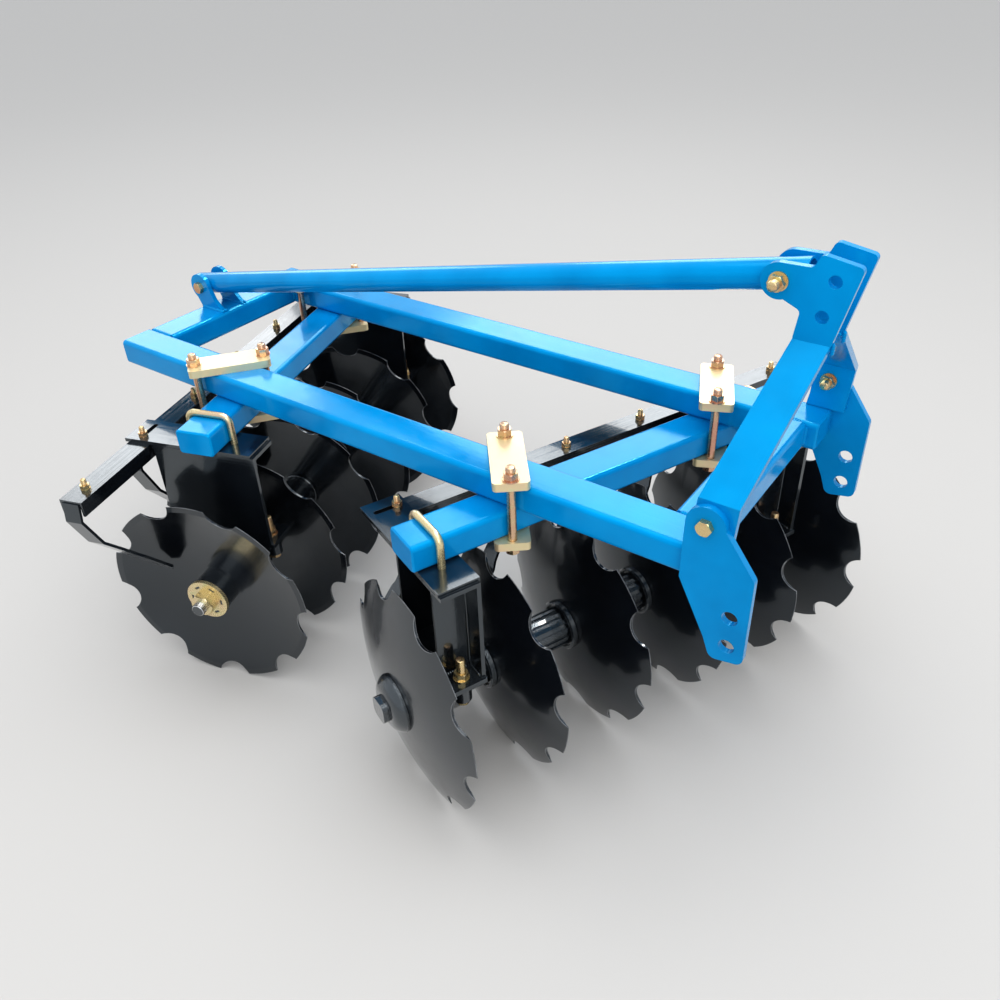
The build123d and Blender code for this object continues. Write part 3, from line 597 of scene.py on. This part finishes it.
def frameWelds():
    # where the cross tubes meet the rails: on top, below and down both sides
    h = harrow
    w = frameWeldLook
    top = h["railTop"]
    y = h["railIn"] + w["proud"]
    lines = []
    for front in (0.0, -h["railLength"] + h["tube"]):
        back = front - h["tube"]
        for z in (top - w["fromEdge"], top - h["tubeHeight"] + w["fromEdge"]):
            lines.append([(back + w["inset"], y, z), (front - w["inset"], y, z)])
        for x in (back + w["corner"], front - w["corner"]):
            lines.append([(x, h["railIn"], top - w["low"]), (x, h["railIn"], top - w["high"])])
    grids = [weldBead(*onFrame(line), w["radius"]) for line in lines + mirrored(lines)]
    addSurface("frameWelds", grids, "bluePaint", "frame")


# beads: both ends along the rail, and how far under the rail's top
plateWeldLook = dict(radius=0.0042, proud=0.0005,
                     beads=((-0.024, 0.018, 0.004), (-0.012, 0.018, 0.0515)))


def plateWelds():
    # hitch plates on the rails' outer sides, above and below
    w = plateWeldLook
    y = harrow["railOut"] + w["proud"]
    lines = []
    for x0, x1, under in w["beads"]:
        z = harrow["railTop"] - under
        lines.append([(x0, y, z), (x1, y, z)])
    grids = [weldBead(*onFrame(line), w["radius"]) for line in lines + mirrored(lines)]
    addSurface("hitchPlateWelds", grids, "bluePaint", "frame")


lugWeldLook = dict(radius=0.0040, inset=0.002, reach=0.070, faces=(0.0255, 0.0345), proud=0.0005)


def lugWelds():
    # both faces of each lug, along its foot
    w = lugWeldLook
    x0, x1 = -harrow["railLength"] + w["inset"], mastLook["lug"][0] + w["reach"]
    z = harrow["railTop"] + w["proud"]
    lines = [[(x0, y, z), (x1, y, z)] for y in w["faces"]]
    grids = [weldBead(*onFrame(line), w["radius"]) for line in lines + mirrored(lines)]
    addSurface("lugWelds", grids, "bluePaint", "frame")


mastWeldLook = dict(radius=0.0036, bend=0.256, along=(0.018, 0.070), inside=0.0255, under=0.002,
                    edgeX=0.0725, edgeIn=0.0262, edgeLow=0.016, edgeHigh=0.006)


def mastWelds():
    # inside the bend of both straps, and down the front edge there
    w = mastWeldLook
    z = harrow["railTop"] + w["bend"]
    lines = [[(x, w["inside"], z - w["under"]) for x in w["along"]],
             [(w["edgeX"], w["edgeIn"], z - w["edgeLow"]), (w["edgeX"], w["edgeIn"], z + w["edgeHigh"])]]
    grids = [weldBead(*onFrame(line), w["radius"]) for line in lines + mirrored(lines)]
    addSurface("mastWelds", grids, "bluePaint", "frame")


channelLook = dict(front=0.110, rear=0.126, web=0.038, plate=0.008, top=0.526, foot=0.316,
                   endPlate=(0.061, 0.067), endOut=0.032, clear=0.006, bite=0.004, short=0.002,
                   carrierZ=0.534, carrierBeads=((-0.098, -0.030), (0.030, 0.098)))
channelRadius = dict(web=0.0036, across=0.0034, upright=0.0032, carrier=0.0026)


def channelWelds(gang):
    # web to foot and to top flange inside the channel, the end plates' feet, and the carrier plate's sides
    c = channelLook
    r = channelRadius
    side = gangs[gang]["side"]
    grids = []

    def lay(n0, u0, z0, n1, u1, z1, radius):
        grids.append(weldBead(*onGang(gang, [[n0, u0, z0], [n1, u1, z1]]), radius))

    for u in gangs[gang]["hangers"]:
        inner = u - side * (c["web"] - c["plate"])
        outer = u + side * c["endOut"]
        low, high = c["endPlate"]
        stretches = ((-c["rear"] + c["clear"], -high), (-low, low), (high, c["front"] - c["clear"]))
        for z in (c["foot"], c["top"]):
            for n0, n1 in stretches:
                lay(n0, inner, z, n1, inner, z, r["web"])
            for n in (-high, high):
                lay(n, inner + side * c["bite"], z, n, outer - side * c["short"], z, r["across"])
        for n in (-high, high):
            lay(n, inner, c["foot"] + c["clear"], n, inner, c["top"] - c["clear"], r["upright"])
        for way in (-1, 1):
            flank = u + way * c["web"]
            for n0, n1 in c["carrierBeads"]:
                lay(n0, flank, c["carrierZ"], n1, flank, c["carrierZ"], r["carrier"])
    addSurface(gang + "ChannelWelds", grids, "blackPaint", "frame")


frameWelds()
plateWelds()
lugWelds()
mastWelds()
for gang in gangs:
    channelWelds(gang)
print("welds laid")


# floor, light and camera

floorLook = dict(size=160.0, color=(0.56, 0.545, 0.525, 1), roughness=0.8)


def paleFloor():
    # a flat square at z = 0
    half = floorLook["size"] / 2
    mesh = bpy.data.meshes.new("floor")
    corners = np.array([[-half, -half, 0], [half, -half, 0], [half, half, 0], [-half, half, 0]])
    mesh.from_pydata(corners.tolist(), [], [(0, 1, 2, 3)])
    mat, tree = newMaterial("floorMatt")
    shader = addNode(tree, "ShaderNodeBsdfPrincipled", (0, 0))
    shader.inputs["Base Color"].default_value = floorLook["color"]
    shader.inputs["Roughness"].default_value = floorLook["roughness"]
    out = addNode(tree, "ShaderNodeOutputMaterial", (300, 0))
    tree.links.new(shader.outputs["BSDF"], out.inputs["Surface"])
    mesh.materials.append(mat)
    floor = bpy.data.objects.new("floor", mesh)
    bpy.context.scene.collection.objects.link(floor)


# cards show only in reflections, boxes also light the floor
softLights = {
    "skyBox": dict(at=(0.5, -0.4, 5.0), aim=(0.0, 0.0, 0.0), size=6.0, power=150.0, tint=(1.0, 1.0, 1.0),
                   card=False),
    "frontBox": dict(at=(3.6, -3.8, 3.4), aim=(0.2, 0.0, 0.3), size=3.0, power=60.0, tint=(1.0, 0.98, 0.95),
                     card=False),
    "backCard": dict(at=(-1.7, 3.9, 3.7), aim=(0.1, -0.1, 0.6), size=3.4, power=95.0, tint=(1.0, 1.0, 1.0),
                     card=True),
    "glintCard": dict(at=(0.2, 2.5, 4.4), aim=(0.2, 0.0, 0.4), size=0.9, power=75.0, tint=(1.0, 1.0, 1.0),
                      card=True),
    "leftCard": dict(at=(-5.2, 2.6, 3.2), aim=(-0.4, 0.0, 0.6), size=2.6, power=50.0, tint=(1.0, 1.0, 1.0),
                     card=True),
}
skyGlow = dict(color=(0.93, 0.96, 1.0, 1), strength=1.0)


def lightUp():
    for name, look in softLights.items():
        lamp = bpy.data.lights.new(name, "AREA")
        lamp.shape = "DISK"
        lamp.size = look["size"]
        lamp.energy = look["power"]
        lamp.color = look["tint"]
        holder = bpy.data.objects.new(name, lamp)
        holder.visible_diffuse = not look["card"]
        aim = np.array(look["aim"]) - np.array(look["at"])
        back = -aim / np.linalg.norm(aim)
        across = np.cross((0.0, 0.0, 1.0), back)
        across = across / np.linalg.norm(across)
        turn = np.eye(4)
        turn[:3, 0], turn[:3, 1], turn[:3, 2], turn[:3, 3] = across, np.cross(back, across), back, look["at"]
        holder.matrix_world = Matrix(turn.tolist())
        bpy.context.scene.collection.objects.link(holder)
    world = bpy.data.worlds.new("softSky")
    world.use_nodes = True
    glow = world.node_tree.nodes["Background"]
    glow.inputs["Color"].default_value = skyGlow["color"]
    glow.inputs["Strength"].default_value = skyGlow["strength"]
    bpy.context.scene.world = world


cameraPlace = dict(at=(1.09038, -1.29118, 1.50325), lens=32.69, sensor=36.0,
                   right=(0.8177, 0.57481, -0.030978), down=(0.30951, -0.484394, -0.81827),
                   forward=(-0.485355, 0.659512, -0.573999))


def placeCamera():
    view = bpy.data.cameras.new("photoView")
    view.lens = cameraPlace["lens"]
    view.sensor_width = cameraPlace["sensor"]
    view.sensor_fit = "HORIZONTAL"
    view.clip_end = 200.0
    camera = bpy.data.objects.new("photoView", view)
    turn = np.eye(4)
    turn[:3, 0] = cameraPlace["right"]
    turn[:3, 1] = -np.array(cameraPlace["down"])
    turn[:3, 2] = -np.array(cameraPlace["forward"])
    turn[:3, 3] = cameraPlace["at"]
    camera.matrix_world = Matrix(turn.tolist())
    bpy.context.scene.collection.objects.link(camera)
    bpy.context.scene.camera = camera


paleFloor()
lightUp()
placeCamera()
view = bpy.context.scene.view_settings
view.view_transform = "Standard"
view.look = "Medium High Contrast"
view.exposure = -0.25
print("floor, light and camera placed")
